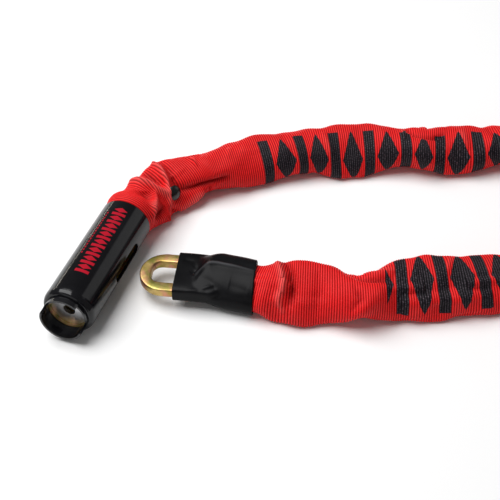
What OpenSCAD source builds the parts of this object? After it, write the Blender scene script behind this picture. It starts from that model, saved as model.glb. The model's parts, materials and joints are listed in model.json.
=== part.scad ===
// Integrated chain lock: a key-operated barrel with a chain in a woven sleeve.
// The end link goes into the slot in the barrel's side, and the key turns a D-shaped bolt through it.
// The barrel lies along Y with its mouth towards -Y. The chain lies flat, so each hinge turns about Z.

/* [Barrel] */
// Outside diameter of the barrel shell
barrel_d = 28; // [28:0.5:31]
// Length of the barrel, from its key face to its rear edge
barrel_len = 70; // [69:1:74]
// Wall thickness of the barrel shell
shell_wall = 1.5; // [1:0.25:1.5]
// How far the front collar stands out in front of the key face
collar_len = 10; // [8:1:12]
// How far the top of the collar is cut back
collar_cut = 4; // [2:0.5:5]
// Diameter of the round key hole
key_hole_d = 6.4; // [5.6:0.2:6.6]
// Number of detainer discs behind the key hole
disc_count = 7; // [4:1:7]

/* [Chain] */
// Side of the four-sided bar that the links are bent from
bar = 4.5; // [4:0.25:4.5]
// Inside length of a link
link_inner_len = 34.5; // [32:0.5:36]
// Inside width of a link
link_inner_w = 6.4; // [6.2:0.1:6.4]

/* [Sleeve] */
// Width of the woven sleeve round the chain
sleeve_w = 26; // [24:0.5:27]
// Height of the woven sleeve round the chain
sleeve_h = 20; // [19:0.5:20]
// Thickness of the fabric
sleeve_wall = 0.9; // [0.6:0.1:1]
// Furthest that a chain hinge turns from straight, in degrees
hinge_limit = 36; // [20:2:36]

/* [End link] */
// Outside width of the end link
end_w = 27; // [26:0.5:27]
// Width of the end link's bar
end_bar = 6.2; // [5.5:0.1:6.5]
// Thickness of the end link
end_thick = 5; // [4.5:0.25:5]
// Length of the end link that stands out of the rubber boot
end_reach = 19; // [17:1:21]
// Length of the rubber boot
boot_len = 42; // [38:1:44]

/* [Hidden] */
$fn = 48;

// Clearances: parts that stay put, parts that meet as they move, parts that turn; and a cut's overlap
snug = 0.1;
meeting = 0.15;
running = 0.3;
cut = 0.5;

// Barrel, all measured along Y from its key face
barrel_r = barrel_d / 2;
axis_z = barrel_r;
shell_bore_r = barrel_r - shell_wall;
shell_front = -2.5;
shoulder = [2, 3.5];
rear_chamfer = 0.4;
collar_r = barrel_r - 2.5;
collar_bore_r = collar_r - 1.1;
collar_flange = [1.65, 3.1];
// Stretches of the collar that are cut back: from and to an angle, and how far
collar_gaps = [[48, 160, collar_cut], [-22, 50, collar_cut + 1.8]];
lug_angle = 35;
lug_w = 6;
lug_face = barrel_r - 0.4;
lug_span = [shell_front + 0.2, 1.5];
core_r = shell_bore_r - snug;
core_front = collar_flange[1] + snug;
core_rear = barrel_len - 1;
housing_r = 9.8;
housing_bore_r = 7.6;
housing_face = 2;
housing_rear = 21;
ring_r = collar_bore_r - snug / 2;
ring_span = [-2, 0.6];
plug_r = housing_bore_r - 0.2;
carrier_bore_r = 5.9;
carrier_span = [housing_face + running, 18.4];
carrier_rear = 20.6;
tang = 5;
tang_end = 25;
disc_r = carrier_bore_r - 0.15;
disc_thick = 1.5;
disc_pitch = 2.1;
disc_start = housing_face + 0.6;
spacer_thick = 0.5;
spacer_bore_r = key_hole_d / 2 + 0.8;
gate_depth = 0.9;
sidebar_w = 1.6;
sidebar_span = [3.4, 17.6];
sidebar_groove = 1;
pin_d = 2.5;
pin_bite = 1;
pin_inset = 0.4;
cylinder_pin_y = 10;

// Rotor bolt and the cavity that it turns in
cavity_r = 9;
rotor_r = cavity_r - running;
journal_span = [housing_rear + running, 26];
slot_len = end_w + 0.5;
slot_h = end_thick + 1.5;
slot_y = 40;
cavity_rear = slot_y + slot_len / 2 + meeting;
bolt_w = end_w - 2 * end_bar - 1.6;
bolt_flat = end_thick / 2 + 0.7;
bolt_span = [slot_y - bolt_w / 2, slot_y + bolt_w / 2];
neck_r = [6.4, rotor_r - 0.2];
neck_angle = [118, 148];
tang_play = 0.2;
detent_y = 23.6;
detent_r = 1.2;
detent_out = rotor_r + 0.75;
spring_wall = 0.4;

// Rear socket, where the first link hangs on the anchor pin
socket_r = 10.9;
anchor_y = barrel_len - 6;
anchor_d = 5;

// Chain: even links lie flat and odd ones stand on edge
chain_z = 10;
link_in_r = link_inner_w / 2;
link_mid_r = link_in_r + bar / 2;
link_outer_r = link_in_r + bar;
bar_chamfer = bar * 0.2;
socket_front = anchor_y - link_outer_r - 0.9;
crown_gap = link_inner_len - link_inner_w;
standing_step = crown_gap + 2 * link_mid_r;
headings = [90, 60, 36, 36, 26, 22, 16, 26, -10, -45, -80, -115, -140, -148, -154, -160, -164, -177];
end_heading = -167;
last = len(headings) - 1;
wedge = sleeve_w / 2 * tan(hinge_limit / 2);
hinge_gap = 0.4;
socket_clear = 3.5;
rivet_link = 1;
rivet_place = 0.35;
rivet_tilt = 25;
rivet_r = 1.5;
rivet_button_r = 2.5;
rivet_button_h = 1;
rivet_head_r = 4.5;
rivet_head_h = 2;
rivet_dome_r = 5.5;
// Reach of the sleeve's outside from its middle, in the direction that the rivet tilts
rivet_seat = (sleeve_w - sleeve_h) / 2 * cos(rivet_tilt) + sleeve_h / 2 + snug / 2;
washer_thick = 0.75;

// End link and boot, measured from the last hinge point inside the boot
eye_corner_r = 5;
end_tip = 38;
// The eye starts where the end link, turned to its own heading, clears the inside of the last link's crown
end_bend = end_heading - headings[last];
crown_room = sqrt(link_in_r * link_in_r - end_thick * end_thick / 4);
eye_start = link_mid_r - crown_room + meeting + bar / 2 * tan(end_bend);
end_back = eye_start + end_bar;
boot_wall = 1.2;
boot_front = end_tip - end_reach;
boot_rear = boot_front - boot_len;
boot_step = 3;
boot_slim_start = 1;
boot_slot_start = -1;
boot_bore = [end_w + 2 * snug, end_thick + 2 * snug];
boot_slim_h = boot_bore[1] + 2 * boot_wall + 0.8;
boot_w = boot_bore[0] + 2 * boot_wall;
boot_h = sleeve_h - 0.6;
boot_slim_corner = 2;
boot_corner = 6;

function flat(i) = i % 2 == 0;
function step(i) = flat(i) ? crown_gap : standing_step;
function toward(a) = [cos(a), sin(a)];
// Hinge points along the chain, from the anchor pin to the pivot inside the boot
function hinge_at(i) = i == 0 ? [0, anchor_y] : hinge_at(i - 1) + step(i - 1) * toward(headings[i - 1]);

// Plan outline corners of a sleeve segment, used to centre the whole lock on the origin
function corners(i) = [
    for (u = [wedge, step(i) - wedge], v = [-sleeve_w / 2, sleeve_w / 2])
        hinge_at(i) + u * toward(headings[i]) + v * toward(headings[i] + 90)
];
chain_corners = [for (i = [0 : last], p = corners(i)) p];
plan_low = [-barrel_r, -collar_len];
plan_high = [max([for (p = chain_corners) p[0]]), max([for (p = chain_corners) p[1]])];
centre = (plan_low + plan_high) / 2;

function two_digits(i) = str(i < 10 ? "0" : "", i);
link_names = [for (i = [0 : last]) str("chain_link_", two_digits(i))];
sleeve_names = [for (i = [0 : last]) str("sleeve_", two_digits(i))];

// Places a lock part: its local +Z becomes the barrel's +Y, and its local -Y points up
module along_barrel(y = 0) {
    translate([-centre[0], y - centre[1], axis_z]) rotate([-90, 0, 0]) children();
}

// Places a chain part at a hinge point, with local +X along the link
module at_hinge(i, heading) {
    p = hinge_at(i) - centre;
    translate([p[0], p[1], chain_z]) rotate([0, 0, heading]) children();
}

module tube(r_out, r_in, from, to) {
    translate([0, 0, from]) difference() {
        cylinder(r = r_out, h = to - from);
        translate([0, 0, -cut]) cylinder(r = r_in, h = to - from + 2 * cut);
    }
}

// A slot with round ends, along the barrel, cut outwards from the axis on the +X side
module side_slot(length, height, depth) {
    reach = (length - height) / 2;
    translate([0, 0, slot_y]) rotate([0, 90, 0]) {
        for (s = [-1, 1]) translate([s * reach, 0, 0]) cylinder(r = height / 2, h = depth);
        translate([-reach, -height / 2, 0]) cube([2 * reach, height, depth]);
    }
}

// A ring sector about the barrel's axis; angles run from +X up towards +Z
module sector(r_in, r_out, from_z, to_z, from_angle, to_angle) {
    translate([0, 0, from_z]) rotate([0, 0, -to_angle])
        rotate_extrude(angle = to_angle - from_angle)
            translate([r_in, 0]) square([r_out - r_in, to_z - from_z]);
}

// A radial hole or pin below the barrel's axis
module below_axis(y, from_r, to_r, r) {
    translate([0, from_r, y]) rotate([-90, 0, 0]) cylinder(r = r, h = to_r - from_r);
}

module stadium(w, h) {
    square([w - h, h], center = true);
    for (s = [-1, 1]) translate([s * (w - h) / 2, 0]) circle(r = h / 2);
}

module round_rect(w, h, r) {
    square([w - 2 * r, h], center = true);
    square([w, h - 2 * r], center = true);
    for (s = [-1, 1], t = [-1, 1]) translate([s * (w / 2 - r), t * (h / 2 - r)]) circle(r = r);
}

// Extrudes a cross-section along local +X between two places
module along_link(from, to) {
    translate([from, 0, 0]) rotate([90, 0, 90]) linear_extrude(to - from) children();
}

// A block on the shell, between two distances from the axis, facing outwards at the lug's angle
module lug(from_r, to_r, from_z) {
    rotate([0, 0, -lug_angle]) translate([from_r, -lug_w / 2, from_z])
        cube([to_r - from_r, lug_w, lug_span[1] - from_z]);
}

// Black shell with a rounded shoulder, a flat-faced lug, a lip that holds the collar and the side slot
module barrel_shell() {
    outside = [
        for (a = [0 : 15 : 90])
            [barrel_r - shoulder[0] * (1 - cos(a)), shell_front + shoulder[1] * (1 - sin(a))]
    ];
    inside = [
        [collar_r + snug, shell_front],
        [collar_r + snug, collar_flange[0] - snug / 2],
        [shell_bore_r, collar_flange[0] - snug / 2],
        [shell_bore_r, barrel_len],
        [barrel_r - rear_chamfer, barrel_len],
        [barrel_r, barrel_len - rear_chamfer]
    ];
    color([0.03, 0.03, 0.035]) along_barrel() difference() {
        union() {
            rotate_extrude() polygon(concat(outside, inside));
            lug(collar_r + cut, lug_face, lug_span[0]);
        }
        lug(lug_face, barrel_d, shell_front - cut);
        side_slot(slot_len, slot_h, barrel_d);
    }
}

// Steel core that fills the shell and carries everything inside it
module lock_core() {
    color([0.75, 0.62, 0.3]) along_barrel() difference() {
        translate([0, 0, core_front]) cylinder(r = core_r, h = core_rear - core_front);
        translate([0, 0, core_front - cut])
            cylinder(r = housing_r + snug, h = housing_rear + snug - core_front + cut);
        translate([0, 0, housing_rear]) cylinder(r = cavity_r, h = cavity_rear - housing_rear);
        translate([0, 0, socket_front]) cylinder(r = socket_r, h = barrel_len - socket_front);
        side_slot(slot_len, slot_h, barrel_d);
        translate([0, barrel_r, anchor_y]) rotate([90, 0, 0])
            cylinder(r = anchor_d / 2 + snug / 2, h = barrel_d);
        below_axis(cylinder_pin_y, housing_r - pin_bite, barrel_r, pin_d / 2 + snug / 2);
        below_axis(detent_y, cavity_r - cut, barrel_r, detent_r + snug);
    }
}

// Front collar: a guard round the key face, cut back where the key's bow comes in
module front_collar() {
    color([0.05, 0.05, 0.05]) along_barrel() difference() {
        union() {
            tube(collar_r, collar_bore_r, -collar_len, collar_flange[1]);
            tube(core_r, collar_bore_r, collar_flange[0], collar_flange[1]);
        }
        for (gap = collar_gaps)
            sector(
                collar_bore_r - cut, collar_r + cut,
                -collar_len - cut, gap[2] - collar_len,
                gap[0], gap[1]
            );
    }
}

// Lock cylinder's housing, with the round key hole in its face and a groove for the sidebar
module cylinder_housing() {
    color([0.6, 0.6, 0.62]) along_barrel() difference() {
        cylinder(r = housing_r, h = housing_rear);
        translate([0, 0, housing_face]) cylinder(r = housing_bore_r, h = housing_rear);
        translate([0, 0, -cut]) cylinder(r = key_hole_d / 2, h = housing_face + 2 * cut);
        translate([-sidebar_w / 2 - snug, -housing_bore_r - sidebar_groove, sidebar_span[0] - snug])
            cube([sidebar_w + 2 * snug, 2 * sidebar_groove, sidebar_span[1] - sidebar_span[0] + 2 * snug]);
        below_axis(cylinder_pin_y, housing_r - pin_bite - snug, barrel_r, pin_d / 2 + snug / 2);
    }
}

module face_ring() {
    color([0.8, 0.68, 0.3]) along_barrel()
        tube(ring_r, housing_r + snug / 2, ring_span[0], ring_span[1]);
}

module cylinder_pin() {
    color("silver") along_barrel()
        below_axis(cylinder_pin_y, housing_r - pin_bite, core_r - pin_inset, pin_d / 2);
}

module anchor_pin() {
    reach = core_r - pin_inset;
    color("silver") along_barrel(anchor_y) translate([0, reach, 0]) rotate([90, 0, 0])
        cylinder(r = anchor_d / 2, h = 2 * reach);
}

module detent_ball() {
    color("silver") along_barrel(detent_y) translate([0, detent_out, 0]) sphere(r = detent_r);
}

module detent_spring() {
    color("gray") along_barrel(detent_y) translate([0, detent_out + detent_r, 0]) rotate([-90, 0, 0])
        tube(detent_r, detent_r - spring_wall, 0, core_r - detent_out - detent_r - snug);
}

// Turning carrier: a tube that holds the discs, with a slot for the sidebar and a square tang
module disc_carrier() {
    color([0.7, 0.7, 0.72]) along_barrel() difference() {
        union() {
            tube(plug_r, carrier_bore_r, carrier_span[0], carrier_span[1]);
            translate([0, 0, carrier_span[1]]) cylinder(r = plug_r, h = carrier_rear - carrier_span[1]);
            translate([-tang / 2, -tang / 2, carrier_rear]) cube([tang, tang, tang_end - carrier_rear]);
        }
        translate([-sidebar_w / 2 - snug, -plug_r - cut, sidebar_span[0] - snug])
            cube([
                sidebar_w + 2 * snug,
                plug_r - carrier_bore_r + 2 * cut,
                sidebar_span[1] - sidebar_span[0] + 2 * snug
            ]);
    }
}

// Flat discs with a key hole and a gate in the rim under the sidebar
module detainer_discs() {
    color([0.72, 0.66, 0.5]) for (i = [0 : disc_count - 1]) along_barrel(disc_start + i * disc_pitch)
        difference() {
            cylinder(r = disc_r, h = disc_thick);
            translate([0, 0, -cut]) cylinder(r = key_hole_d / 2 + snug, h = disc_thick + 2 * cut);
            translate([-sidebar_w / 2, -disc_r - cut, -cut])
                cube([sidebar_w, gate_depth + cut, disc_thick + 2 * cut]);
        }
}

module disc_spacers() {
    gap = (disc_pitch - disc_thick - spacer_thick) / 2;
    color("silver") for (i = [0 : disc_count - 2])
        along_barrel(disc_start + i * disc_pitch + disc_thick + gap)
            tube(disc_r, spacer_bore_r, 0, spacer_thick);
}

module sidebar() {
    color("silver") along_barrel()
        translate([-sidebar_w / 2, -plug_r + snug / 2, sidebar_span[0]])
            cube([sidebar_w, plug_r - carrier_bore_r - snug, sidebar_span[1] - sidebar_span[0]]);
}

// Rotor bolt: a journal, a neck that clears the end link's leg, and a D-shaped bolt for its eye
module rotor_bolt() {
    socket_side = tang + 2 * tang_play;
    color([0.78, 0.66, 0.32]) along_barrel() {
        difference() {
            translate([0, 0, journal_span[0]])
                cylinder(r = rotor_r, h = journal_span[1] - journal_span[0]);
            translate([-socket_side / 2, -socket_side / 2, journal_span[0] - cut])
                cube([socket_side, socket_side, tang_end + 2 * tang_play - journal_span[0] + cut]);
            translate([0, 0, detent_y]) rotate_extrude()
                translate([detent_out, 0]) circle(r = detent_r + snug);
        }
        sector(
            neck_r[0], neck_r[1],
            journal_span[1] - cut, bolt_span[0] + cut,
            neck_angle[0], neck_angle[1]
        );
        translate([0, 0, bolt_span[0]]) intersection() {
            cylinder(r = rotor_r, h = bolt_w);
            translate([-rotor_r, -rotor_r, 0]) cube([2 * rotor_r, rotor_r - bolt_flat, bolt_w]);
        }
    }
}

module bar_section() {
    h = bar / 2;
    c = h - bar_chamfer;
    polygon([[h, -c], [h, c], [c, h], [-c, h], [-h, c], [-h, -c], [-c, -h], [c, -h]]);
}

// One link lying flat, with its first crown centred on the origin and its length along +X
module link_ring() {
    for (end = [0, 1]) translate([end * crown_gap, 0, 0]) rotate([0, 0, 90 + 180 * end])
        rotate_extrude(angle = 180) translate([link_mid_r, 0]) bar_section();
    for (s = [-1, 1]) translate([0, s * link_mid_r, 0]) along_link(0, crown_gap) bar_section();
}

module chain_link(i) {
    color([0.45, 0.45, 0.47]) at_hinge(i, headings[i]) {
        if (flat(i)) link_ring();
        else translate([link_mid_r, 0, 0]) rotate([90, 0, 0]) link_ring();
    }
}

// Turns a part across the riveted link, with local +Z towards the rivet's head
module across_rivet() {
    translate([step(rivet_link) * rivet_place, 0, 0]) rotate([90 - rivet_tilt, 0, 0]) children();
}

module at_rivet() {
    at_hinge(rivet_link, headings[rivet_link]) across_rivet() children();
}

// One link's length of the woven sleeve; its ends are pointed in plan so that neighbours can turn
module sleeve(i) {
    from = i == 0 ? barrel_len - anchor_y + socket_clear : hinge_gap;
    to = i == last ? step(i) + boot_rear - hinge_gap : step(i) - hinge_gap;
    side = sleeve_w / 2 + cut;
    start = i == 0 ? from : from + side * tan(hinge_limit / 2);
    end = i == last ? to : to - side * tan(hinge_limit / 2);
    color([0.8, 0.05, 0.08]) at_hinge(i, headings[i]) difference() {
        intersection() {
            along_link(from, to) stadium(sleeve_w, sleeve_h);
            translate([0, 0, -sleeve_h]) linear_extrude(2 * sleeve_h)
                polygon([[from, 0], [start, side], [end, side], [to, 0], [end, -side], [start, -side]]);
        }
        along_link(from - cut, to + cut)
            stadium(sleeve_w - 2 * sleeve_wall, sleeve_h - 2 * sleeve_wall);
        if (i == rivet_link) across_rivet() cylinder(r = rivet_r + 2 * snug, h = 2 * sleeve_w, center = true);
    }
}

// Rivet that pins the sleeve through one standing link, with its domed head on the outside
module sleeve_rivet() {
    tail = rivet_seat + washer_thick + snug / 2;
    color([0.06, 0.06, 0.06]) at_rivet() {
        translate([0, 0, -tail]) cylinder(r = rivet_r, h = tail + rivet_seat + cut);
        translate([0, 0, -tail - rivet_button_h]) cylinder(r = rivet_button_r, h = rivet_button_h);
        translate([0, 0, rivet_seat]) intersection() {
            cylinder(r = rivet_head_r, h = rivet_dome_r);
            translate([0, 0, rivet_head_h - rivet_dome_r]) sphere(r = rivet_dome_r);
        }
    }
}

module rivet_washer() {
    color("silver") at_rivet()
        tube(rivet_head_r, rivet_r + snug / 2, -rivet_seat - washer_thick, -rivet_seat);
}

// Places a part at the pivot inside the boot, in line with the last link or with the end link
module at_last_link() {
    at_hinge(last + 1, headings[last]) children();
}

module at_end_link() {
    at_hinge(last + 1, end_heading) children();
}

module end_link() {
    mid = (end_tip - end_back) / 2;
    color([0.85, 0.7, 0.3]) at_end_link() translate([mid, 0, -end_thick / 2]) linear_extrude(end_thick)
        difference() {
            stadium(end_tip + end_back, end_w);
            round_rect(end_tip + end_back - 2 * end_bar, end_w - 2 * end_bar, eye_corner_r);
        }
}

// Rubber boot: slim round the end link, taller round the last chain link
module end_boot() {
    color([0.08, 0.08, 0.08]) difference() {
        union() {
            at_end_link() along_link(boot_slim_start, boot_front)
                round_rect(boot_w, boot_slim_h, boot_slim_corner);
            at_last_link() along_link(boot_rear, boot_step + boot_wall)
                round_rect(boot_w, boot_h, boot_corner);
        }
        at_end_link() along_link(boot_slot_start, boot_front + cut) square(boot_bore, center = true);
        at_last_link() along_link(boot_rear - cut, boot_step)
            round_rect(boot_w - 2 * boot_wall, boot_h - 2 * boot_wall, boot_corner - boot_wall);
    }
}

barrel_shell();
lock_core();
front_collar();
cylinder_housing();
face_ring();
cylinder_pin();
anchor_pin();
detent_ball();
detent_spring();
disc_carrier();
detainer_discs();
disc_spacers();
sidebar();
rotor_bolt();
sleeve_rivet();
rivet_washer();
end_boot();
end_link();
for (i = [0 : last]) {
    chain_link(i);
    sleeve(i);
}
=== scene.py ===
import json
import math

import bpy
import numpy as np
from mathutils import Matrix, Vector


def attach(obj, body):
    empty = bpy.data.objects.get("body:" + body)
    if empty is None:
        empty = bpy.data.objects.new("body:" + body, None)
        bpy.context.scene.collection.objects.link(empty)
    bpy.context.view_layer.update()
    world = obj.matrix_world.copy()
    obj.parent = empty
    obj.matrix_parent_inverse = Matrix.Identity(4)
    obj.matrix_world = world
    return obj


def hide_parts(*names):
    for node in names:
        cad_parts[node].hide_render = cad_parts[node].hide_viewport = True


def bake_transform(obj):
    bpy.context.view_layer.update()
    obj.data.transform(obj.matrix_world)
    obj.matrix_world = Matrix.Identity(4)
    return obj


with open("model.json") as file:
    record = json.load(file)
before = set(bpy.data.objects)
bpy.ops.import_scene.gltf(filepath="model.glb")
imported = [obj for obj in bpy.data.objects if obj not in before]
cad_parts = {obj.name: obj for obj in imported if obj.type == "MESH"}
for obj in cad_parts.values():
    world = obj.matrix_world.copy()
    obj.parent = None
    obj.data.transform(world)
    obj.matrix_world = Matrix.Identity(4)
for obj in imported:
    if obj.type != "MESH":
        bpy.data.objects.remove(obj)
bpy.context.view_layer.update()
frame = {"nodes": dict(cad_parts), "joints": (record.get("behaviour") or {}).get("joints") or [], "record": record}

# The looks of a chain lock: black barrel, chain in a ribbed red sleeve, yellow end link in a rubber boot.
# Shapes are worked out in millimetres in the CAD row frame, and turned into metres when a mesh is made.
MM = 0.001
RNG = np.random.default_rng(7)

# ---------------------------------------------------------------- camera

# Fitted to the photograph: place in metres, tilt and turn in degrees, lens and sensor in millimetres
CAMERA_AT = (0.078573, -0.426584, 0.410033)
CAMERA_TILT, CAMERA_TURN = 46.0, 19.235
CAMERA_LENS, CAMERA_SENSOR = 77.66, 36.0


def make_camera():
    """The photograph's camera."""
    data = bpy.data.cameras.new("photo_camera")
    data.lens = CAMERA_LENS
    data.sensor_width = CAMERA_SENSOR
    cam = bpy.data.objects.new("photo_camera", data)
    bpy.context.scene.collection.objects.link(cam)
    cam.location = CAMERA_AT
    cam.rotation_euler = (math.radians(CAMERA_TILT), 0.0, math.radians(CAMERA_TURN))
    bpy.context.scene.camera = cam


# ---------------------------------------------------------------- route of the chain

LINKS = 18
CHAIN_Z = 10.0
LAST_STEP = 39.0  # from the last hinge to the pivot inside the boot
LAST_HEADING, END_HEADING = -177.0, -167.0
BARREL_AXIS_Z = 14.0
BARREL_REAR = 6.0  # along the route from the first hinge, which is on the anchor pin
LINK_HALF_W, LINK_HALF_THICK = 7.7, 2.25
FLAT_REACH, STANDING_REACH = 8.0, 2.5  # how far past its hinges each kind of link holds the sleeve open
HOLD_FADE = 3.0


def unit(degrees):
    """Unit vector in plan at a heading."""
    a = math.radians(degrees)
    return np.array([math.cos(a), math.sin(a)])


def hinge_points():
    """The chain's hinge points in plan, from the frame's joints, and the pivot inside the boot."""
    places = {j["name"]: j["pos_m"] for j in frame["joints"]}
    points = [np.array(places[f"chain_hinge_{i:02d}"][:2]) / MM for i in range(LINKS)]
    return np.array(points + [points[-1] + LAST_STEP * unit(LAST_HEADING)])


# Hinge points, lengths of the steps between them, distances along the route, and directions of the steps
HINGE = hinge_points()
STEP = np.linalg.norm(np.diff(HINGE, axis=0), axis=1)
HINGE_S = np.concatenate([[0.0], np.cumsum(STEP)])
ALONG = np.diff(HINGE, axis=0) / STEP[:, None]


def at_link(position):
    """Distance along the route of a place such as 4.5, half way along link 4."""
    return float(np.interp(position, range(LINKS + 1), HINGE_S))


def smoothstep(x, low, high):
    """From 0 at low to 1 at high, easing in and out."""
    t = np.clip((np.asarray(x, float) - low) / (high - low), 0.0, 1.0)
    return t * t * (3.0 - 2.0 * t)


def blurred(values, spacing, sigma):
    """Values along the route, averaged over a bell of the given width."""
    reach = int(4 * sigma / spacing)
    bell = np.exp(-0.5 * (np.arange(-reach, reach + 1) * spacing / sigma) ** 2)
    padded = np.pad(values, reach, mode="reflect", reflect_type="odd")
    return np.convolve(padded, bell / bell.sum(), mode="valid")


# ---------------------------------------------------------------- sleeve

RIB_PITCH = 1.24
RINGS_PER_RIB = 4
RING_GAP = RIB_PITCH / RINGS_PER_RIB
RIB_HEIGHT = 0.38
AROUND = 96
GIRTH = 75.0
MM_PER_DEGREE = GIRTH / 360.0
SLEEVE_FROM = 3.0  # just behind the anchor pin
SLEEVE_TO = HINGE_S[LINKS] - 19.0  # inside the boot
VIEW_RISE, VIEW_RUN = 0.72, 0.695  # how much the camera sees of a height, and of a distance away from it
FLOOR_GAP = 0.35
FLOOR_PRESS = 1.2  # cloth lower than this above the gap is pressed flat
TOP_STRAND_END = at_link(8.0)
LOW_STRAND_START = at_link(12.5)
ROUTE_BLUR, OUTLINE_BLUR = 4.5, 3.0
PRINT_ANGLE_OUT, PRINT_ANGLE_BACK = 152.0, 68.0  # from the strand's left side up and over
RIPPLES, RIPPLE_HEIGHT = 14, 0.12
PUSH_CLEAR, GUARD_CLEAR = 1.1, 1.0  # from a corner of the chain to the cloth, before and after the creases

# Shape of the sleeve as the camera sees it: place along the chain in links, half width and shift up in mm.
# From link 8 to 12.5 it is outside the photograph and guessed.
OUTLINE = [
    (0.50, 13.4, 0.0), (1.00, 14.0, -2.5), (1.25, 14.2, 0.0), (1.50, 14.2, 0.9), (1.75, 12.6, 0.7),
    (2.00, 11.0, -2.0), (2.25, 10.7, -1.4), (2.50, 11.3, -0.8), (2.75, 13.0, -1.0), (3.00, 14.4, -0.6),
    (3.25, 14.4, -0.2), (3.50, 13.2, 0.0), (3.75, 12.5, -0.1), (4.00, 12.6, -0.5), (4.25, 13.9, -1.4),
    (4.50, 15.2, -2.4), (4.75, 15.9, -2.7), (5.00, 16.2, -2.6), (5.25, 14.8, -2.0), (5.50, 12.3, -1.0),
    (5.75, 11.2, -1.6), (6.00, 10.9, -3.8), (6.25, 12.4, -3.9), (6.50, 13.9, -3.6), (6.75, 14.6, -2.8),
    (7.00, 14.0, -2.3), (7.25, 11.8, -1.5), (7.50, 10.8, -0.5), (8.00, 13.0, 0.0), (8.50, 14.5, 0.0),
    (9.00, 13.0, 0.0), (9.50, 12.0, 0.0), (10.00, 13.0, 0.0), (10.50, 14.0, 0.0), (11.00, 13.0, 0.0),
    (11.50, 12.0, 0.0), (12.00, 13.0, 0.0), (12.50, 14.5, 0.5), (13.00, 12.5, 0.5), (13.25, 12.6, 0.5),
    (13.50, 14.4, 1.0), (13.75, 15.3, 1.6), (14.00, 15.0, 2.6), (14.25, 15.3, 3.0), (14.50, 16.2, 2.7),
    (14.75, 16.6, 3.0), (15.00, 16.8, 3.2), (15.25, 15.2, 2.6), (15.50, 11.9, 0.6), (15.75, 10.3, -1.0),
    (16.00, 12.7, 0.3), (16.25, 15.3, 0.8), (16.50, 16.2, 0.6), (16.75, 16.5, 0.8), (17.00, 16.3, 0.9),
    (17.25, 13.6, 0.2), (17.42, 12.4, 0.0), (17.60, 12.0, 0.0), (18.00, 12.0, 0.0),
]
NOMINAL_W, NOMINAL_H = 13.5, 10.6
ROUND_HALF = 12.0  # where the sleeve looks wider than this, its far side is raised
LEAN_RANGE, LEAN_LEAST, LEAN_MOST = 5.5, -0.5, 0.7
FREE_FROM, FREE_AT = BARREL_REAR + 3.0, BARREL_REAR + 19.0  # the barrel's hold on the shape ends between them
BOOT_FROM, BOOT_FULL = at_link(17.15), at_link(17.42)  # the boot's hold begins between them
BOOT_HOLD_W, BOOT_HOLD_H, BOOT_LEAN = 12.4, 7.5, -0.3

# The round mouth, where the sleeve comes out of the barrel: distance along the route and radius
MOUTH = [
    (SLEEVE_FROM, 10.2), (BARREL_REAR - 0.8, 10.4), (BARREL_REAR, 11.9), (BARREL_REAR + 1.6, 13.3),
    (BARREL_REAR + 6.0, 13.8),
]

# Creases in the cloth: height (negative for a valley), half width, and the places that each one runs through,
# as a place along the chain and degrees from the print's middle, growing towards the strand's right side
CREASES = [
    # Buckled cloth between the barrel and the rivet
    (3.8, 2.0, [(1.00, -130), (1.03, -80), (1.12, -35), (1.24, -10), (1.18, 20)]),
    (-3.4, 2.0, [(1.22, -110), (1.22, -60), (1.28, -30)]),
    (3.6, 1.8, [(1.43, -115), (1.39, -60), (1.34, -32), (1.28, -6)]),
    (-2.6, 2.0, [(1.54, -95), (1.51, -55), (1.47, -25), (1.47, -5)]),
    (-2.2, 3.0, [(1.38, -8), (1.44, 6)]),
    (3.6, 1.4, [(1.06, -36), (0.52, -4), (0.28, 28)]),
    (-3.4, 2.4, [(1.02, 0), (0.72, 18), (0.52, 38)]),
    (-2.8, 3.4, [(0.86, -58), (0.66, -24)]),
    (1.6, 4.0, [(0.90, 40), (1.04, 56)]),
    (5.4, 5.0, [(1.20, 172), (1.50, 172)]),
    # Fold under the second and third links
    (-4.0, 2.2, [(1.45, -4), (1.71, 13), (1.94, 18), (2.30, 16), (2.55, 10)]),
    (3.8, 3.0, [(1.36, 52), (1.60, 46), (1.84, 38)]),
    (-2.4, 1.8, [(1.22, 30), (1.30, 62)]),
    (-2.4, 1.8, [(1.98, 34), (2.02, 60)]),
    (1.8, 0.9, [(1.92, -80), (1.88, -44)]),
    (1.2, 2.6, [(2.75, -75), (2.58, -45)]),
    # Waist of the strand that goes out
    (-3.0, 1.8, [(5.78, -95), (5.90, -66), (6.22, -58), (6.50, -66)]),
    (1.8, 2.2, [(5.98, -104), (6.20, -92), (6.50, -96)]),
    (1.8, 1.0, [(5.74, -84), (5.70, -40)]),
    (-1.2, 2.6, [(3.62, -84), (3.68, -30), (3.60, 20)]),
    (1.1, 2.0, [(4.30, -70), (4.44, -10)]),
    (-1.2, 2.2, [(7.30, -84), (7.36, -30), (7.30, 10)]),
    (1.0, 2.0, [(6.80, -70), (6.95, -20)]),
    # The strand that comes back
    (3.4, 2.2, [(17.20, 62), (17.08, 22), (17.01, -5), (17.05, -30), (16.97, -60)]),
    (-3.0, 2.2, [(17.06, 70), (16.90, 20), (16.86, -15), (16.90, -45)]),
    (-3.0, 2.0, [(15.94, 74), (15.70, 42), (15.48, 26), (15.30, 4)]),
    (1.8, 2.0, [(15.70, 70), (15.46, 44), (15.28, 28)]),
    (-1.6, 2.4, [(15.90, -64), (15.76, -20), (15.84, 20)]),
    (-1.3, 2.4, [(13.10, 64), (13.16, 10), (13.10, -34)]),
    (1.1, 2.0, [(14.30, 54), (14.42, 10)]),
    (-1.0, 3.0, [(16.40, 30), (16.34, -10), (16.44, -40)]),
]


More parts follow.
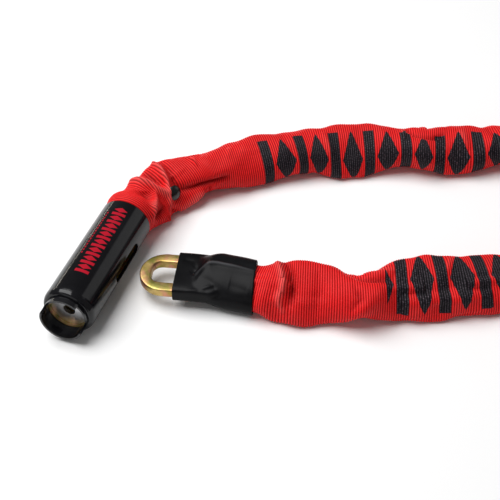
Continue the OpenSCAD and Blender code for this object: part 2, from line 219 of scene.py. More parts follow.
def route(s):
    """Smooth centreline in plan and its left-hand normal, for evenly spaced distances along the route."""
    plan = []
    for axis in range(2):
        path = np.interp(s, HINGE_S, HINGE[:, axis])
        path = np.where(s < 0, HINGE[0, axis] + s * ALONG[0, axis], path)
        past = s - HINGE_S[LINKS]
        path = np.where(past > 0, HINGE[LINKS, axis] + past * ALONG[-1, axis], path)
        plan.append(blurred(path, RING_GAP, ROUTE_BLUR))
    plan = np.stack(plan, -1)
    tangent = np.gradient(plan, axis=0)
    tangent /= np.linalg.norm(tangent, axis=1)[:, None]
    return plan, np.stack([-tangent[:, 1], tangent[:, 0]], -1)


def outline_matrix(wide, high, lean):
    """Matrices that turn a unit circle into ellipses of the given half width and half height.
    A lean above 0 raises the left side, without making the ellipse any wider or higher."""
    q_nn, q_zz, q_nz = wide**2, high**2, lean * wide * high
    root = np.sqrt(q_nn * q_zz - q_nz**2)
    scale = np.sqrt(q_nn + q_zz + 2 * root)
    return (np.stack([q_nn + root, q_nz, q_nz, q_zz + root], -1) / scale[..., None]).reshape(-1, 2, 2)


def strand_side(s):
    """+1 where the strand's left side is its far side from the camera, -1 on the strand that comes back."""
    return 1.0 - 2.0 * smoothstep(s, TOP_STRAND_END, LOW_STRAND_START)


def in_boot(s):
    """0 on the open chain, and 1 where the boot holds the sleeve."""
    return smoothstep(s, BOOT_FROM, BOOT_FULL)


def sections(s):
    """For each ring: its centre (sideways, up) and the matrix that turns a unit circle into its outline."""
    place = np.array([at_link(row[0]) for row in OUTLINE])
    half = blurred(np.interp(s, place, [row[1] for row in OUTLINE]), RING_GAP, OUTLINE_BLUR)
    shift = blurred(np.interp(s, place, [row[2] for row in OUTLINE]), RING_GAP, OUTLINE_BLUR)
    side = strand_side(s)
    straight = np.abs(side) ** 2
    slant = np.clip((half - ROUND_HALF) / LEAN_RANGE, LEAN_LEAST, LEAN_MOST)
    lean = slant * side
    run, rise = NOMINAL_W * VIEW_RUN, NOMINAL_H * VIEW_RISE
    seen = np.sqrt(run**2 + rise**2 + 2 * (slant * np.abs(side)) * run * rise)

    # Each strand is scaled to look as wide as in the photograph, and the bend between them keeps its size
    grow = 1.0 + (half / seen - 1.0) * straight
    wide, high = NOMINAL_W * grow, NOMINAL_H * grow
    up = FLOOR_GAP + high
    across = (shift - VIEW_RISE * (up - CHAIN_Z)) / VIEW_RUN * side * straight

    # The barrel holds the sleeve's near end round
    mouth = np.interp(s, [row[0] for row in MOUTH], [row[1] for row in MOUTH])
    free = smoothstep(s, FREE_FROM, FREE_AT)
    wide = mouth + (wide - mouth) * free
    high = mouth + (high - mouth) * free
    up = BARREL_AXIS_Z + (up - BARREL_AXIS_Z) * free
    across = across * free
    lean = lean * free

    # The boot holds the sleeve's far end at the chain's own height
    held = in_boot(s)
    up = up + (CHAIN_Z - up) * held
    high = high + (BOOT_HOLD_H - high) * held
    wide = wide + (BOOT_HOLD_W - wide) * held
    lean = lean + (BOOT_LEAN - lean) * held
    across = across * (1.0 - held)

    return np.stack([across, up], -1), outline_matrix(wide, high, lean)


def link_corners(s):
    """Corners of the chain's cross-section round its axis, with how much each one counts at every ring."""
    flat, standing = np.zeros(len(s)), np.zeros(len(s))
    for i in range(LINKS):
        reach = FLAT_REACH if i % 2 == 0 else STANDING_REACH
        inside = smoothstep(s, HINGE_S[i] - reach - HOLD_FADE, HINGE_S[i] - reach)
        inside *= 1.0 - smoothstep(s, HINGE_S[i + 1] + reach, HINGE_S[i + 1] + reach + HOLD_FADE)
        if i % 2 == 0:
            flat = np.maximum(flat, inside)
        else:
            standing = np.maximum(standing, inside)
    flat *= smoothstep(s, BARREL_REAR, BARREL_REAR + 2.0)
    signs = [(1, 1), (1, -1), (-1, 1), (-1, -1)]
    found = [((LINK_HALF_W * a, LINK_HALF_THICK * b), flat) for a, b in signs]
    return found + [((LINK_HALF_THICK * a, LINK_HALF_W * b), standing) for a, b in signs]


def print_angle(s):
    """Angle round the sleeve of the middle of its print, which faces the camera on both strands."""
    turned = smoothstep(s, TOP_STRAND_END, LOW_STRAND_START)
    return np.radians(PRINT_ANGLE_OUT + (PRINT_ANGLE_BACK - PRINT_ANGLE_OUT) * turned)


def crease_height(along, across, creases):
    """Sum of all creases at places in millimetres along a piece and round it. Each fades at its ends."""
    total = np.zeros(np.broadcast(along, across).shape)
    for height, width, places in creases:
        corner = [np.array([x, degrees * MM_PER_DEGREE]) for x, degrees in places]
        legs = len(corner) - 1
        nearest = np.full(total.shape, np.inf)
        share = np.zeros(total.shape)
        for n in range(legs):
            line = corner[n + 1] - corner[n]
            x = along - corner[n][0]
            y = (across - corner[n][1] + GIRTH / 2) % GIRTH - GIRTH / 2
            t = np.clip((x * line[0] + y * line[1]) / (line @ line), 0.0, 1.0)
            away = np.hypot(x - t * line[0], y - t * line[1])
            share = np.where(away < nearest, (n + t) / legs, share)
            nearest = np.minimum(nearest, away)
        fade = 0.15 + 0.85 * np.sqrt(np.sin(math.pi * share))
        total = total + height * fade * np.exp(-((nearest / width) ** 1.5))
    return total


def ripples(s, angle):
    """Soft uneven waves in the cloth, the same on every run."""
    total = np.zeros(np.broadcast(s, angle).shape)
    for _ in range(RIPPLES):
        wave = RNG.uniform(11.0, 34.0)
        turns = RNG.integers(-4, 5)
        phase = RNG.uniform(0.0, 2 * math.pi)
        total = total + np.sin(2 * math.pi * s / wave + turns * angle + phase) * RIPPLE_HEIGHT
    return total


def outward_normals(rings):
    """Unit normals of closed outlines in their own plane."""
    turn = np.roll(rings, -1, axis=1) - np.roll(rings, 1, axis=1)
    turn /= np.linalg.norm(turn, axis=-1)[..., None]
    return np.stack([turn[..., 1], -turn[..., 0]], -1)


def over_the_chain(outline, centre, s):
    """The outline pushed out where it would lie inside the chain, and the least radius clear of the chain.
    A sum of eighth powers stands for the greatest of the radii, with smooth joins between them."""
    radius = np.linalg.norm(outline, axis=-1)
    heading = outline / radius[..., None]
    blended = radius**8
    guard = np.zeros(radius.shape)
    held = in_boot(s)
    for corner, counts in link_corners(s):
        spot = np.array([corner[0], CHAIN_Z + corner[1]]) - centre
        far = np.linalg.norm(spot, axis=-1)
        toward = np.einsum("rai,ri->ra", heading, spot / far[:, None])
        near_corner = np.clip(toward, 0.0, 1.0) ** 5 * counts[:, None]
        needed = (far + PUSH_CLEAR - held)[:, None] * near_corner
        blended = blended + (needed**8) * (needed > 0.8 * radius)
        guard = np.maximum(guard, (far + GUARD_CLEAR - 0.9 * held)[:, None] * near_corner)
    return heading * (blended ** (1 / 8))[..., None], guard


def sleeve_relief(s, column):
    """Height of the ripples and creases, which die away in the barrel's mouth and in the boot."""
    free = smoothstep(s, BARREL_REAR + 1.0, BARREL_REAR + 9.0)
    loose = free * (1 - smoothstep(s, at_link(17.3), BOOT_FULL))
    around = np.degrees(column)[None, :] * MM_PER_DEGREE
    folds = [(height, width, [(at_link(p), d) for p, d in places]) for height, width, places in CREASES]
    relief = ripples(s[:, None], column[None, :]) + crease_height(s[:, None], around, folds)
    return relief * loose[:, None]


def laid_on_floor(height):
    """Heights above the floor, with the lowest pressed flat just over it."""
    low = FLOOR_GAP + FLOOR_PRESS
    pressed = FLOOR_GAP + FLOOR_PRESS * np.exp((height - FLOOR_GAP - FLOOR_PRESS) / FLOOR_PRESS)
    return np.where(height < low, pressed, height)


def sleeve_grid():
    """Points of the whole sleeve in millimetres, rings along the route by columns round it, and its folds."""
    count = int((SLEEVE_TO - SLEEVE_FROM) / RING_GAP) + 1
    s = SLEEVE_FROM + RING_GAP * np.arange(count)
    plan, left = route(s)
    centre, matrix = sections(s)
    column = np.arange(AROUND) / AROUND * 2 * math.pi - math.pi
    angle = print_angle(s)[:, None] + column[None, :]
    circle = np.stack([np.cos(angle), np.sin(angle)], -1)
    outline, guard = over_the_chain(np.einsum("rij,raj->rai", matrix, circle), centre, s)

    # Ripples, creases and ribs stand along the outline's own normal
    outward = outward_normals(outline)
    relief = sleeve_relief(s, column)
    ribs = RIB_HEIGHT * np.abs(np.sin(math.pi * np.arange(count) / RINGS_PER_RIB))
    ribs = ribs * (1.0 - 0.7 * in_boot(s))  # the boot squeezes them
    outline = outline + outward * relief[..., None]
    outline = outline * np.maximum(1.0, guard / np.linalg.norm(outline, axis=-1))[..., None]
    outline = outline + outward * ribs[:, None, None]

    local = centre[:, None, :] + outline
    points = np.empty((count, AROUND, 3))
    points[..., :2] = plan[:, None, :] + left[:, None, :] * local[..., :1]
    points[..., 2] = laid_on_floor(local[..., 1])
    return s, points, relief


def grid_normals(points):
    """Unit normals of a tube's points, given as rings by columns."""
    along = np.gradient(points, axis=0)
    around = np.roll(points, -1, axis=1) - np.roll(points, 1, axis=1)
    normal = np.cross(around, along)
    return normal / np.linalg.norm(normal, axis=-1)[..., None]


def new_mesh(name, vertices, faces, uvs=None, normals=None, fold=None):
    """A smooth-shaded object from points in millimetres; uvs go corner by corner, normals vertex by vertex.
    The fold is each vertex's crease height, which the materials use to paint highlights on crests and shade in
    valleys."""
    mesh = bpy.data.meshes.new(name)
    mesh.from_pydata([tuple(v) for v in np.asarray(vertices) * MM], [], [tuple(f) for f in faces])
    mesh.polygons.foreach_set("use_smooth", [True] * len(mesh.polygons))
    if uvs is not None:
        layer = mesh.uv_layers.new(name="UVMap")
        layer.data.foreach_set("uv", np.asarray(uvs, np.float32).ravel())
    if fold is not None:
        heights = mesh.attributes.new("fold", "FLOAT", "POINT")
        heights.data.foreach_set("value", np.asarray(fold, np.float32).ravel())
    mesh.update()
    if normals is not None:
        mesh.normals_split_custom_set_from_vertices([tuple(n) for n in normals])
    obj = bpy.data.objects.new(name, mesh)
    bpy.context.scene.collection.objects.link(obj)
    return obj


def tube_faces(rows, columns, closed=False):
    """Four-sided faces between the rings of a tube; a closed one joins its last ring to its first."""
    count = rows if closed else rows - 1
    i, j = np.meshgrid(np.arange(count), np.arange(columns), indexing="ij")
    i, j = i.ravel(), j.ravel()
    below, right = (i + 1) % rows, (j + 1) % columns
    return np.stack([i * columns + j, i * columns + right, below * columns + right, below * columns + j], -1)


def make_sleeve(material):
    """The woven sleeve, parted at the middle of each link, so that every length covers one hinge."""
    s, points, relief = sleeve_grid()
    normals = grid_normals(points)
    middles = (HINGE_S[:-1] + HINGE_S[1:]) / 2
    cuts = [0] + [int(round((m - SLEEVE_FROM) / RING_GAP)) for m in middles[: LINKS - 1]] + [len(s) - 1]
    u = s * MM
    v = (np.arange(AROUND + 1) / AROUND - 0.5) * GIRTH * MM
    for k in range(LINKS):
        first, last = cuts[k], cuts[k + 1]
        faces = tube_faces(last - first + 1, AROUND)
        i, j = faces[:, 0] // AROUND, faces[:, 0] % AROUND
        corner_u = np.stack([u[first + i], u[first + i], u[first + i + 1], u[first + i + 1]], -1)
        corner_v = np.stack([v[j], v[j + 1], v[j + 1], v[j]], -1)
        piece = new_mesh(
            f"sleeve_length_{k:02d}",
            points[first : last + 1].reshape(-1, 3),
            faces,
            np.stack([corner_u, corner_v], -1),
            normals[first : last + 1].reshape(-1, 3),
            relief[first : last + 1],
        )
        piece.data.materials.append(material)
        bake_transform(piece)
        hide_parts(f"sleeve_{k:02d}")


# ---------------------------------------------------------------- boot and end link

BOOT_FRONT, BOOT_REAR = 19.0, -23.0
BOOT_WALL, BOOT_CHAMFER = 0.9, 0.4
BOOT_RINGS, BOOT_AROUND = 106, 120
BOOT_SLIM, SLIM_SHARP = (14.5, 4.4), 7.0  # half width, half height and boxiness round the end link
BOOT_TALL, TALL_SHARP = (14.4, 9.75), 2.2  # and over the last chain link
SPINE_BEND = 4.0  # eases the corner between the last link's direction and the end link's
# Creases in the rubber, like the sleeve's: mm along and degrees from the top, positive on the far side
BOOT_CREASES = [
    (1.2, 1.0, [(9.0, -18), (7.0, -6), (3.5, 6), (-3.0, 11), (-12.0, 12), (-23.0, 11)]),
    (-0.9, 1.8, [(11.0, -8), (7.0, 6), (3.0, 16)]),
    (-0.5, 2.0, [(6.0, -28), (0.0, -42), (-4.0, -62)]),
    (-0.5, 2.2, [(9.0, 10), (4.0, 34)]),
    (0.6, 0.7, [(4.0, -62), (-2.0, -50)]),
    (0.6, 0.7, [(1.5, -74), (-4.5, -58)]),
    (-0.5, 0.8, [(-1.0, -84), (-7.0, -66)]),
    (0.3, 1.0, [(12.0, -70), (6.0, -66)]),
    (-0.5, 3.5, [(-10.0, -40), (-20.0, -46)]),
    (-0.3, 2.0, [(16.0, 40), (10.0, 36)]),
]

# The end link: its two ends along the boot's axis, then the sizes of its ring and the eye's corner radius
EYE_TIP, EYE_BACK = 38.0, -10.2
EYE_HALF_W, EYE_BAR, EYE_THICK = 13.5, 6.2, 5.0
EYE_CORNER = 5.0
EYE_EDGE, EDGE_STEPS = 0.9, 5  # radius of the ring's rounded edges and the points on each
EYE_SEARCH, HALVINGS = 20.0, 30


def from_boot(points, spine):
    """Row frame places of (along, left, up) given from the pivot in the boot; the spine turns x into plan."""
    plan = HINGE[LINKS] + spine(points[..., :1]) + points[..., 1:2] * unit(END_HEADING + 90.0)
    return np.concatenate([plan, points[..., 2:] + CHAIN_Z], -1)


def straight_spine(x):
    """Along the end link's own axis."""
    return x * unit(END_HEADING)


def bent_spine(x):
    """Along the last link behind the pivot and along the end link in front of it."""
    ahead = (x + np.sqrt(x**2 + SPINE_BEND**2)) / 2
    return ahead * unit(END_HEADING) + (x - ahead) * unit(LAST_HEADING)


def power_outline(angle, sharp):
    """Outline 2 wide and 2 high, round at sharp 2 and boxy above; angles run from the left up and over."""
    across, up = np.cos(angle), np.sin(angle)
    return np.stack([
        np.sign(across) * np.abs(across) ** (2.0 / sharp),
        np.sign(up) * np.abs(up) ** (2.0 / sharp),
    ], -1)


def spaced_evenly(rings, count):
    """Closed outlines, each with its points spaced evenly from its first point on."""
    closed = np.concatenate([rings, rings[:, :1]], 1)
    reach = np.cumsum(np.linalg.norm(np.diff(closed, axis=1, prepend=closed[:, :1]), axis=-1), 1)
    even = np.empty((len(rings), count, 2))
    for ring, far, made in zip(closed, reach, even):
        for axis in range(2):
            made[:, axis] = np.interp(np.arange(count) / count * far[-1], far, ring[:, axis])
    return even


def boot_surface(x, count, inset):
    """Rings of the boot and its creases: boxy round the end link, then tall over the last standing link."""
    angle = np.arange(720) / 720 * 2 * math.pi
    slim = power_outline(angle, SLIM_SHARP) * (np.array(BOOT_SLIM) - inset)
    lean = outline_matrix(BOOT_TALL[0] - inset, BOOT_TALL[1] - inset, np.array(BOOT_LEAN))[0]
    tall = power_outline(angle, TALL_SHARP) @ lean

    # The rubber rises from slim to tall further forward at its top and bottom than at its sides
    ridge = np.where(np.sin(angle) > 0, np.sin(angle) ** 4, np.sin(angle) ** 8)[None]
    rise = smoothstep(x[:, None], 3.0 + 7.0 * ridge, -7.0 + 8.0 * ridge)[..., None]
    rings = spaced_evenly(slim[None] + (tall - slim)[None] * rise, count)
    outward = outward_normals(rings)
    across = (np.arange(count)[None] / count * 360.0 - 90.0) * MM_PER_DEGREE
    marks = crease_height(x[:, None], across, BOOT_CREASES)
    marks = marks + 0.1 * np.sin(x[:, None] / 3.1 + across / 4.0) * np.sin(x[:, None] / 7.3 + 0.8)
    rings = rings + outward * marks[..., None]
    rings[..., 1] = np.maximum(rings[..., 1], FLOOR_GAP - CHAIN_Z)
    return np.concatenate([np.broadcast_to(x[:, None, None], rings.shape[:2] + (1,)), rings], -1), marks


def make_boot(material):
    """Rubber boot with a wall: outside, front rim, inside and rear rim in one closed surface."""
    x = np.linspace(BOOT_REAR, BOOT_FRONT, BOOT_RINGS)
    outside, marks = boot_surface(x, BOOT_AROUND, 0.0)
    inside, _ = boot_surface(x[::-1], BOOT_AROUND, BOOT_WALL)

    # A small chamfer on the outer corner of each rim
    outside[[0, -1]] = boot_surface(x[[0, -1]], BOOT_AROUND, 0.6 * BOOT_CHAMFER)[0]
    outside[1, :, 0] = BOOT_REAR + BOOT_CHAMFER
    outside[-2, :, 0] = BOOT_FRONT - BOOT_CHAMFER

    rings = from_boot(np.concatenate([outside, inside]), bent_spine)
    faces = tube_faces(len(rings), BOOT_AROUND, closed=True)
    fold = np.concatenate([marks, np.zeros(marks.shape)])
    boot = new_mesh("rubber_boot", rings.reshape(-1, 3), faces, fold=fold)
    boot.data.materials.append(material)
    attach(boot, "end_piece")
    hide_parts("end_boot")


def eye_edge(centre_x, heading):
    """Distance from a point on the end link's middle line to the edge of its eye, for each heading.
    It is found by halving the range that it lies in."""
    low, high = np.zeros(heading.shape), np.full(heading.shape, EYE_SEARCH)
    half = np.array([(EYE_TIP - EYE_BACK) / 2 - EYE_BAR, EYE_HALF_W - EYE_BAR]) - EYE_CORNER
    middle = (EYE_TIP + EYE_BACK) / 2
    for _ in range(HALVINGS):
        reach = (low + high) / 2
        x = np.abs(centre_x + reach * np.cos(heading) - middle) - half[0]
        y = np.abs(reach * np.sin(heading)) - half[1]
        outside = np.hypot(np.maximum(x, 0.0), np.maximum(y, 0.0)) > EYE_CORNER
        low, high = np.where(outside, low, reach), np.where(outside, reach, high)
    return low


def make_end_link(material):
    """Oval ring of yellow steel with rounded edges, round a boxier eye."""
    front, back = EYE_TIP - EYE_HALF_W, EYE_BACK + EYE_HALF_W
    turn = np.radians(np.arange(-90.0, 90.1, 2.5))
    side = np.linspace(0.0, 1.0, 14)[1:-1]
    centre_x = np.concatenate([
        np.full(len(turn), front), front + (back - front) * side,
        np.full(len(turn), back), back + (front - back) * side,
    ])
    heading = np.concatenate([
        turn, np.full(len(side), math.pi / 2),
        turn + math.pi, np.full(len(side), -math.pi / 2),
    ])
    inner = eye_edge(centre_x, heading)
    outer = np.full(len(heading), EYE_HALF_W)

    # Cross-section: a rectangle with rounded corners; each point has 0 for the eye's edge or 1 for the outer
    # edge, then its offset from that edge and its height
    profile = []
    for across, up, start in [(1, -1, -90.0), (1, 1, 0.0), (0, 1, 90.0), (0, -1, 180.0)]:
        inset = EYE_EDGE if across == 0 else -EYE_EDGE
        corner_up = up * (EYE_THICK / 2 - EYE_EDGE)
        for a in np.radians(np.linspace(start, start + 90.0, EDGE_STEPS)):
            profile.append((across, inset + EYE_EDGE * math.cos(a), corner_up + EYE_EDGE * math.sin(a)))
    profile = np.array(profile)
    reach = inner[:, None] + (outer - inner)[:, None] * profile[None, :, 0] + profile[None, :, 1]
    ring = np.stack([
        centre_x[:, None] + reach * np.cos(heading)[:, None],
        reach * np.sin(heading)[:, None],
        np.broadcast_to(profile[None, :, 2], reach.shape),
    ], -1)
    faces = tube_faces(len(heading), len(profile), closed=True)[:, ::-1]
    link = new_mesh("yellow_end_link", from_boot(ring, straight_spine).reshape(-1, 3), faces)
    link.data.materials.append(material)
    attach(link, "end_piece")
    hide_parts("end_link")


# ---------------------------------------------------------------- materials

PRINT_FROM, PRINT_TO = at_link(3.22), at_link(15.42)
BARREL_START = 64.0  # from the first hinge to where the CAD measures the barrel from, near its front
BARREL_SKIN_R = 13.5  # only the outside of the tube is printed


class Nodes:
    """A short way to write a material's node tree."""

    def __init__(self, name):
        self.material = bpy.data.materials.new(name)
        self.material.use_nodes = True
        self.tree = self.material.node_tree
        self.shader = self.tree.nodes["Principled BSDF"]

    def node(self, kind, inputs=(), **settings):
        """A new node with its settings, and its inputs as pairs of a name and a socket or value."""
        made = self.tree.nodes.new(kind)
        for key, value in settings.items():
            setattr(made, key, value)
        for key, value in dict(inputs).items():
            self.feed(made.inputs[key], value)
        return made

    def feed(self, socket, value):
        """Links another node's output to the socket, or sets the socket to a plain value."""
        if isinstance(value, bpy.types.NodeSocket):
            self.tree.links.new(value, socket)
        else:
            socket.default_value = value

    def math(self, operation, a, b=0.0):
        made = self.node("ShaderNodeMath", operation=operation)
        self.feed(made.inputs[0], a)
        self.feed(made.inputs[1], b)
        return made.outputs[0]

    def times(self, a, b):
        return self.math("MULTIPLY", a, b)

    def away(self, value, middle):
        """Distance of a value from a middle."""
        return self.math("ABSOLUTE", self.math("SUBTRACT", value, middle))

    def mix(self, share, a, b):
        made = self.node("ShaderNodeMix", data_type="RGBA")
        self.feed(made.inputs[0], share)
        self.feed(made.inputs[6], a)
        self.feed(made.inputs[7], b)
        return made.outputs[2]

    def noise(self, scale, detail=3.0, vector=None, roughness=0.5):
        made = self.node("ShaderNodeTexNoise", {"Scale": scale, "Detail": detail, "Roughness": roughness})
        self.feed(made.inputs["Vector"], self.place() if vector is None else vector)
        return made.outputs["Fac"]

    def fold(self, low, high):
        """From 0 at a crease height of low millimetres to 1 at high, which may be the lower of the two."""
        return self.ramp(self.node("ShaderNodeAttribute", attribute_name="fold").outputs["Fac"], low, high)

    def place(self):
        return self.node("ShaderNodeTexCoord").outputs["Object"]

    def ramp(self, value, low, high):
        """From 0 at low to 1 at high, and level beyond both."""
        made = self.node("ShaderNodeMapRange", {"Value": value, "From Min": low, "From Max": high})
        return made.outputs[0]

    def bump(self, height, strength, distance):
        made = self.node("ShaderNodeBump", {"Height": height, "Strength": strength, "Distance": distance})
        return made.outputs[0]

    def roughness(self, grain, share, base):
        """Base roughness, with a share of the grain on top."""
        return self.math("ADD", self.times(grain, share), base)

    def bars_and_diamonds(self, along, off, pitch, bar, diamond, half_width):
        """1 on a row of bars with diamonds between them, each diamond given by its middle and half length."""
        cell = self.times(self.math("FRACT", self.math("DIVIDE", along, pitch)), pitch)
        lengthways = self.math("DIVIDE", self.away(cell, diamond[0]), diamond[1])
        sideways = self.math("DIVIDE", off, half_width)
        on_diamond = self.math("LESS_THAN", self.math("ADD", lengthways, sideways), 1.0)
        shape = self.math("MAXIMUM", self.math("LESS_THAN", cell, bar), on_diamond)
        return self.times(shape, self.math("LESS_THAN", off, half_width))

    def set(self, **values):
        """Feeds the shader's own sockets, named with _ for each space."""
        for key, value in values.items():
            self.feed(self.shader.inputs[key.replace("_", " ")], value)


def sleeve_ink(n, s, v, thread):
    """1 where the sleeve is printed: a row of bars and diamonds, with edges roughened by the threads."""
    off = n.math("ADD", n.math("ABSOLUTE", v), n.times(n.math("SUBTRACT", thread, 0.5), 0.9))
    along = n.math("SUBTRACT", s, PRINT_FROM)
    ink = n.bars_and_diamonds(along, off, pitch=21.0, bar=6.0, diamond=(13.5, 6.2), half_width=14.0)
    ink = n.times(ink, n.math("GREATER_THAN", s, PRINT_FROM))
    return n.times(ink, n.math("LESS_THAN", s, PRINT_TO))


def sleeve_red(n, rib, groove, thread):
    """Red with painted highlights on the rib crests, the threads and the crests of folds, and painted shade in the
    grooves and valleys.
    """
    red = n.mix(n.ramp(n.noise(55.0, 3.0), 0.35, 0.7), (0.74, 0.0, 0.0005, 1), (0.92, 0.001, 0.003, 1))
    # Painted highlight: the rib crests are paler and pinker
    red = n.mix(n.times(n.math("POWER", rib, 4.0), 0.5), red, (1.0, 0.055, 0.055, 1))
    # Painted highlight on the crests of the folds
    red = n.mix(n.times(n.fold(0.5, 3.2), 0.75), red, (1.0, 0.13, 0.12, 1))
    # Painted shade in the valleys of the folds
    red = n.mix(n.times(n.fold(-0.5, -3.0), 0.6), red, (0.20, 0.0, 0.0, 1))
    # Painted shade in the grooves between the ribs
    red = n.mix(n.times(groove, 0.9), red, (0.10, 0.0, 0.0, 1))
    # Painted highlight on the threads, pinker where they are paler
    return n.mix(n.times(n.ramp(thread, 0.55, 0.8), 0.45), red, (0.95, 0.06, 0.06, 1))


def sleeve_black(n, rib, thread):
    """Black ink, with painted highlights on the rib crests and on the threads along them."""
    crest = n.math("POWER", rib, 3.0)
    # Painted highlight: threads on the rib crests are paler
    crest_highlight = n.times(n.times(n.ramp(thread, 0.5, 0.68), crest), 0.9)
    # Painted highlight: the black is a little paler on the rib crests
    black = n.mix(n.times(crest, 0.8), (0.0, 0.0, 0.001, 1), (0.022, 0.018, 0.024, 1))
    return n.mix(crest_highlight, black, (0.14, 0.11, 0.13, 1))


def sleeve_material():
    """Ribbed red nylon with a black print of bars and diamonds."""
    n = Nodes("ribbed_nylon")
    uv = n.node("ShaderNodeUVMap", uv_map="UVMap").outputs[0]
    split = n.node("ShaderNodeSeparateXYZ", {"Vector": uv})
    s = n.math("DIVIDE", split.outputs[0], MM)
    v = n.math("DIVIDE", split.outputs[1], MM)
    turn = n.times(n.math("SUBTRACT", s, SLEEVE_FROM), math.pi / RIB_PITCH)
    rib = n.math("ABSOLUTE", n.math("SINE", turn))
    groove = n.math("POWER", n.math("SUBTRACT", 1.0, rib), 0.9)
    thread_place = n.node("ShaderNodeCombineXYZ", {"X": n.times(s, 0.8), "Y": n.times(v, 2.6)})
    thread = n.noise(1.0, 2.0, thread_place.outputs[0])
    ink = sleeve_ink(n, s, v, thread)
    n.set(Base_Color=n.mix(ink, sleeve_red(n, rib, groove, thread), sleeve_black(n, rib, thread)))
    rough = n.math("ADD", n.times(thread, 0.2), n.times(groove, 0.25))
    n.set(Roughness=n.math("ADD", rough, 0.38), Normal=n.bump(thread, 0.4, 0.00025))
    n.set(Sheen_Weight=0.04, Sheen_Roughness=0.4, Sheen_Tint=(1.0, 0.5, 0.5, 1.0), Specular_IOR_Level=0.14)
    return n.material


def barrel_ink(n, x, y, z):
    """1 where the barrel is printed: bars and diamonds along its top and a line of dashes beside them.
    y runs from near the barrel's front to its rear, and x and z are measured from its axis."""
    turn = n.times(n.math("ARCTAN2", x, z), BARREL_AXIS_Z)  # 0 on the top line, growing towards the slot
    row = n.math("SUBTRACT", turn, 1.4)
    off = n.math("ABSOLUTE", row)
    along = n.math("SUBTRACT", y, 14.0)
    ink = n.bars_and_diamonds(along, off, pitch=6.375, bar=1.9, diamond=(4.1, 1.75), half_width=3.8)
    ink = n.times(ink, n.math("LESS_THAN", n.away(y, 39.5), 25.5))

    line = n.math("LESS_THAN", n.math("ABSOLUTE", n.math("ADD", row, 6.4)), 0.45)
    dash = n.math("LESS_THAN", n.math("FRACT", n.math("DIVIDE", y, 2.1)), 0.55)
    line = n.times(n.times(line, dash), n.math("LESS_THAN", n.away(y, 44.0), 17.0))
    ink = n.math("MAXIMUM", ink, line)

    radius_squared = n.math("ADD", n.times(x, x), n.times(z, z))
    return n.times(ink, n.math("GREATER_THAN", radius_squared, BARREL_SKIN_R**2))


def barrel_material():
    """Gloss black enamel with fine handling marks and a generic red print along the top."""
    n = Nodes("black_enamel")
    place = n.node("ShaderNodeSeparateXYZ", {"Vector": n.place()})
    x = n.math("SUBTRACT", n.math("DIVIDE", place.outputs[0], MM), HINGE[0][0])
    y = n.math("SUBTRACT", n.math("DIVIDE", place.outputs[1], MM), HINGE[0][1] - BARREL_START)
    z = n.math("SUBTRACT", n.math("DIVIDE", place.outputs[2], MM), BARREL_AXIS_Z)
    marks = n.noise(260.0, 4.0, roughness=0.7)
    smudge = n.noise(45.0, 3.0)
    black = n.mix(n.ramp(smudge, 0.4, 0.7), (0.004, 0.004, 0.005, 1), (0.009, 0.009, 0.011, 1))
    n.set(Base_Color=n.mix(barrel_ink(n, x, y, z), black, (0.42, 0.008, 0.022, 1)))
    rough = n.math("ADD", n.times(n.ramp(marks, 0.5, 0.8), 0.08), n.times(smudge, 0.06))
    n.set(Roughness=n.math("ADD", rough, 0.09), Normal=n.bump(marks, 0.05, 0.0002))
    n.set(Specular_IOR_Level=0.3)
    return n.material


def chromate_material():
    """Yellow zinc: brushed gold that drifts to olive, rose and green."""
    n = Nodes("yellow_chromate")
    brightness = n.ramp(n.noise(120.0, 3.0), 0.38, 0.6)
    pinkness = n.times(n.ramp(n.noise(210.0, 2.0), 0.48, 0.66), 0.7)
    greenness = n.times(n.ramp(n.noise(160.0, 2.0), 0.48, 0.64), 0.75)
    colour = n.mix(brightness, (0.36, 0.24, 0.06, 1), (0.62, 0.46, 0.17, 1))
    colour = n.mix(pinkness, colour, (0.62, 0.25, 0.19, 1))
    colour = n.mix(greenness, colour, (0.22, 0.25, 0.05, 1))
    grain = n.noise(900.0, 3.0)
    n.set(Base_Color=colour, Metallic=1.0)
    n.set(Roughness=n.roughness(grain, 0.2, 0.26), Normal=n.bump(grain, 0.12, 0.0001))
    return n.material


def steel_material(name, colour, base_rough):
    """Turned steel with fine marks."""
    n = Nodes(name)
    grain = n.noise(700.0, 4.0)
    stain = n.noise(90.0, 3.0)
    dark = tuple(c * 0.7 for c in colour) + (1,)
    n.set(Base_Color=n.mix(n.ramp(stain, 0.35, 0.7), dark, tuple(colour) + (1,)), Metallic=1.0)
    n.set(Roughness=n.roughness(grain, 0.15, base_rough), Normal=n.bump(grain, 0.1, 0.0001))
    return n.material


def dark_material(name, colour, rough, grain_scale, grain_depth, shine):
    """Plastic or paint: near black with a fine grain and soft uneven sheen."""
    n = Nodes(name)
    grain = n.noise(grain_scale, 4.0)
    cloud = n.noise(60.0, 3.0)
    light = tuple(c * 1.9 + 0.002 for c in colour) + (1,)
    n.set(Base_Color=n.mix(n.ramp(cloud, 0.35, 0.7), tuple(colour) + (1,), light))
    n.set(Roughness=n.roughness(cloud, 0.16, rough), Normal=n.bump(grain, 0.3, grain_depth))
    n.set(Specular_IOR_Level=shine)
    return n.material


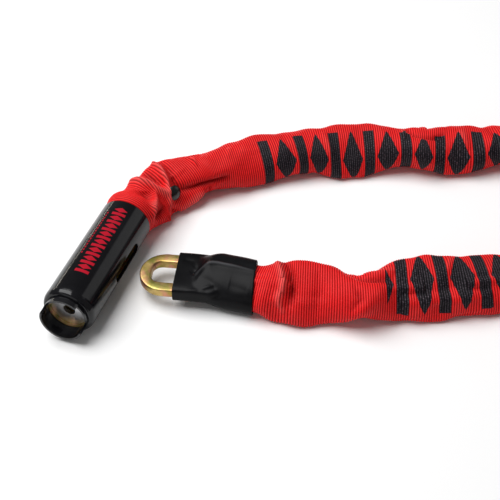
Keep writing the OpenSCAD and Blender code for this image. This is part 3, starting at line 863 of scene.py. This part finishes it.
def rubber_material():
    """Shrunk rubber: satin black, with a painted highlight on the crests of its creases."""
    n = Nodes("satin_rubber")
    grain = n.noise(900.0, 4.0)
    cloud = n.noise(60.0, 3.0)
    black = n.mix(n.ramp(cloud, 0.35, 0.7), (0.002, 0.002, 0.0025, 1), (0.006, 0.006, 0.007, 1))
    # Painted highlight: paler grey on the crests of the creases
    n.set(Base_Color=n.mix(n.times(n.fold(0.25, 1.1), 0.8), black, (0.06, 0.06, 0.065, 1)))
    n.set(Roughness=n.roughness(cloud, 0.16, 0.28), Normal=n.bump(grain, 0.3, 0.00005))
    n.set(Specular_IOR_Level=0.1)
    return n.material


# ---------------------------------------------------------------- stage

WORLD_LIGHT = 0.14
FLOOR_SIDE = 8000.0


def make_world():
    """Even white light from all round."""
    world = bpy.data.worlds.new("studio")
    bpy.context.scene.world = world
    world.use_nodes = True
    back = world.node_tree.nodes["Background"]
    back.inputs[0].default_value = (1.0, 1.0, 1.0, 1.0)
    back.inputs[1].default_value = WORLD_LIGHT


def make_floor():
    """Pale paper, far wider than the view."""
    side = FLOOR_SIDE / 2
    corners = [(-side, -side, 0), (side, -side, 0), (side, side, 0), (-side, side, 0)]
    floor = new_mesh("floor", corners, [(0, 1, 2, 3)])
    n = Nodes("floor_paper")
    n.set(Base_Color=(0.92, 0.92, 0.92, 1), Roughness=0.9)
    floor.data.materials.append(n.material)


def panel(name, at, toward, width, height, power, colour=(1, 1, 1)):
    """A lamp with a flat rectangular face, in metres and watts."""
    light = bpy.data.lights.new(name, "AREA")
    light.shape = "RECTANGLE"
    light.size, light.size_y = width, height
    light.energy = power
    light.color = colour
    obj = bpy.data.objects.new(name, light)
    bpy.context.scene.collection.objects.link(obj)
    obj.location = at
    obj.rotation_euler = (Vector(toward) - Vector(at)).to_track_quat("-Z", "Y").to_euler()


def make_stage():
    """Pale floor and soft studio light."""
    bpy.context.scene.view_settings.view_transform = "Standard"
    make_world()
    make_floor()
    panel("overhead_panel", (-0.6, -0.05, 1.15), (0, 0, 0), 1.2, 1.1, 22.5)
    panel("grey_panel", (0.66, 0.82, 0.52), (-0.1, 0, 0), 0.6, 0.7, 0.9)
    panel("edge_strip", (-0.9, 0.72, 0.14), (-0.1, 0, 0.01), 0.8, 0.012, 0.6, (1.0, 0.93, 0.8))
    panel("front_panel", (-0.2, -1.1, 0.5), (0, 0, 0), 1.0, 0.4, 1.0)


# ---------------------------------------------------------------- build

make_camera()
make_stage()
ENAMEL = barrel_material()
CHROMATE = chromate_material()
STEEL = steel_material("turned_steel", (0.8, 0.8, 0.82), 0.3)
CHAIN_STEEL = steel_material("chain_steel", (0.4, 0.4, 0.42), 0.3)
BRASS = steel_material("disc_brass", (0.78, 0.6, 0.3), 0.22)
RUBBER = rubber_material()
PLASTIC = dark_material("gloss_plastic", (0.004, 0.004, 0.005), 0.06, 1400.0, 0.00002, 0.42)
PAINT = dark_material("black_paint", (0.004, 0.004, 0.004), 0.16, 1200.0, 0.00004, 0.45)

FINISH = {
    "gloss_black": ENAMEL, "yellow_steel": CHROMATE, "plain_steel": STEEL, "chain_steel": CHAIN_STEEL,
    "disc_brass": BRASS, "collar_plastic": PLASTIC, "black_rubber": RUBBER, "black_rivet": PAINT,
}


def finish_nodes():
    """Each CAD node gets the finish of its slot in the record, but for the sleeve's, which are replaced."""
    slots = {row["node"]: row["material_slot"] for row in frame["record"]["subparts"]}
    for name, obj in frame["nodes"].items():
        if slots[name] in FINISH:
            obj.data.materials.clear()
            obj.data.materials.append(FINISH[slots[name]])


EDGE_ROUNDING = {
    "barrel_shell": 0.35, "front_collar": 0.45, "face_ring": 0.2, "cylinder_housing": 0.25, "lock_core": 0.25,
}


def round_edges():
    """Small rounded edges on the CAD parts that show."""
    for name, width in EDGE_ROUNDING.items():
        bevel = frame["nodes"][name].modifiers.new("rounded_edges", "BEVEL")
        bevel.width = width * MM
        bevel.segments = 3
        bevel.limit_method = "ANGLE"
        bevel.angle_limit = math.radians(40.0)


finish_nodes()
round_edges()
make_sleeve(sleeve_material())
make_boot(RUBBER)
make_end_link(CHROMATE)
